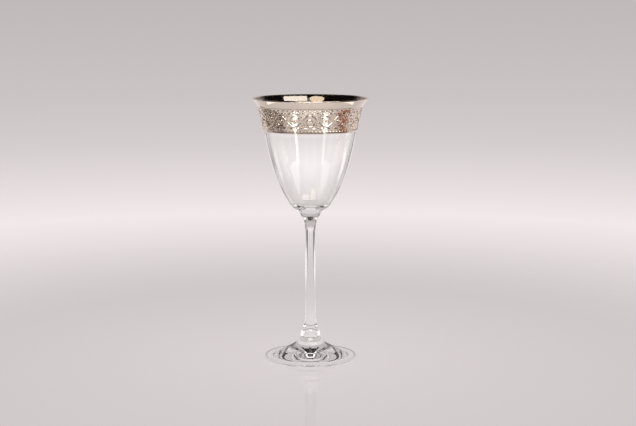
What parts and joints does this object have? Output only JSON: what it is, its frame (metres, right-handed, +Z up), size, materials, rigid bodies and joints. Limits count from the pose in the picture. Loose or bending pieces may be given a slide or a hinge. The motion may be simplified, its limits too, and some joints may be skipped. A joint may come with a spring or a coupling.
{
  "type": "white wine glass",
  "caption": "Stemmed white wine glass: tulip bowl with a turned-out lip and a metal band of vine scroll, slim drawn stem, cone foot.",
  "frame": {"origin": "centre of the foot, on the plane that the glass stands on", "axes": "+Z up along the axis of the glass, towards the lip; -Y is the front"},
  "size_m": [0.0926, 0.0926, 0.21],
  "materials": {
    "glass": "clear, fire polished",
    "bright_metal": "burnished platinum",
    "matt_metal": "etched platinum"
  },
  "bodies": {
    "root": {"bowl": "glass", "stem": "glass", "foot": "glass", "lip_line": "bright_metal", "rim_band": "bright_metal", "upper_line": "bright_metal", "frieze_ground": "matt_metal", "frieze_scroll": "bright_metal", "lower_line": "bright_metal"}
  },
  "joints": []
}
